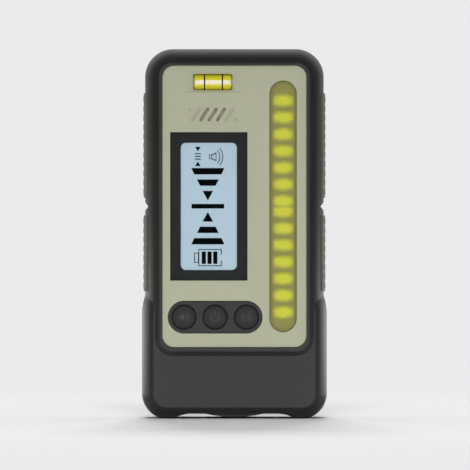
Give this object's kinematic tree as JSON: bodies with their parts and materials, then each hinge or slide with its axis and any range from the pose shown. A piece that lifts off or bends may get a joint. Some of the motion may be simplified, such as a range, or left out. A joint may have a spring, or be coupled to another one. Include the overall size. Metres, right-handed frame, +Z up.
{
  "type": "laser receiver",
  "caption": "Hand-held laser receiver with display, long sensor window, level vial, round keys, ribbed side grips, hinged battery door and a threaded rear mount.",
  "frame": {"origin": "middle of the body's footprint, at the height of the two feet under the base", "axes": "+Z up along the body's height, -Y out of the display face, +X to the right of a person who reads the display"},
  "size_m": [0.075, 0.0301, 0.15],
  "materials": {
    "case": "fine textured dark grey plastic",
    "face": "fine textured olive grey plastic",
    "grip": "soft olive grey moulded rubber",
    "seal": "black silicone",
    "clear_window": "clear hard-coated window",
    "black_mask": "black printed mask",
    "lcd": "pale blue reflective display glass",
    "white_plastic": "white moulded plastic",
    "strip": "layered conductive rubber",
    "sensor_lens": "tinted yellow-green filter plastic",
    "diode": "cast clear resin over silicon",
    "board": "green circuit board",
    "chip": "black moulded chip package",
    "vial_clear": "clear acrylic",
    "vial_fluid": "yellow-green vial liquid",
    "black_line": "black printed ring",
    "key_rubber": "dark grey silicone key",
    "key_black": "black satin plastic",
    "ivory_plastic": "ivory plastic",
    "steel": "plated steel",
    "brass": "turned brass",
    "cell": "printed film over a metal can"
  },
  "bodies": {
    "housing": {"front_shell": "case", "rear_shell": "case", "shell_seal": "seal", "face_plate": "face", "left_upper_grip": "grip", "left_lower_grip": "grip", "right_upper_grip": "grip", "right_lower_grip": "grip", "display_window": "clear_window", "display_mask": "black_mask", "lcd_glass": "lcd", "backlight_guide": "white_plastic", "lcd_frame": "white_plastic", "lcd_strips": "strip", "sensor_window": "sensor_lens", "sensor_baffle": "sensor_lens", "photodiodes": "diode", "sensor_board": "board", "sensor_headers": "chip", "vial_tube": "vial_clear", "vial_liquid": "vial_fluid", "vial_plugs": "vial_fluid", "vial_rings": "black_line", "vial_cradle": "case", "buzzer": "chip", "buzzer_gasket": "seal", "speaker_mesh": "seal", "key_plate": "key_black", "key_mat": "seal", "key_switches": "steel", "main_board": "board", "board_chips": "chip", "board_screws": "steel", "case_screws": "steel", "mount_insert": "brass", "door_seal": "seal", "hinge_pin": "steel", "battery_cells": "cell", "positive_contact": "steel", "negative_contact": "steel", "bridge_contact": "steel", "contact_springs": "steel"},
    "sound_key": {"sound_button": "key_rubber", "sound_plunger": "ivory_plastic"},
    "power_key": {"power_button": "key_rubber", "power_plunger": "ivory_plastic"},
    "precision_key": {"precision_button": "key_rubber", "precision_plunger": "ivory_plastic"},
    "door": {"battery_door": "case", "door_latch": "case"}
  },
  "joints": [
    {"name": "sound_press", "type": "slide", "parent": "housing", "child": "sound_key", "axis": [0, 1, 0], "range_m": [0, 0.0008], "stiffness_N_per_m": 1500, "springref_m": -0.0006},
    {"name": "power_press", "type": "slide", "parent": "housing", "child": "power_key", "axis": [0, 1, 0], "range_m": [0, 0.0008], "stiffness_N_per_m": 1500, "springref_m": -0.0006},
    {"name": "precision_press", "type": "slide", "parent": "housing", "child": "precision_key", "axis": [0, 1, 0], "range_m": [0, 0.0008], "stiffness_N_per_m": 1500, "springref_m": -0.0006},
    {"name": "door_hinge", "type": "hinge", "parent": "housing", "child": "door", "pos_m": [0, 0.013, 0.06], "axis": [1, 0, 0], "range_deg": [0, 95], "deforming": ["door_latch"]}
  ]
}
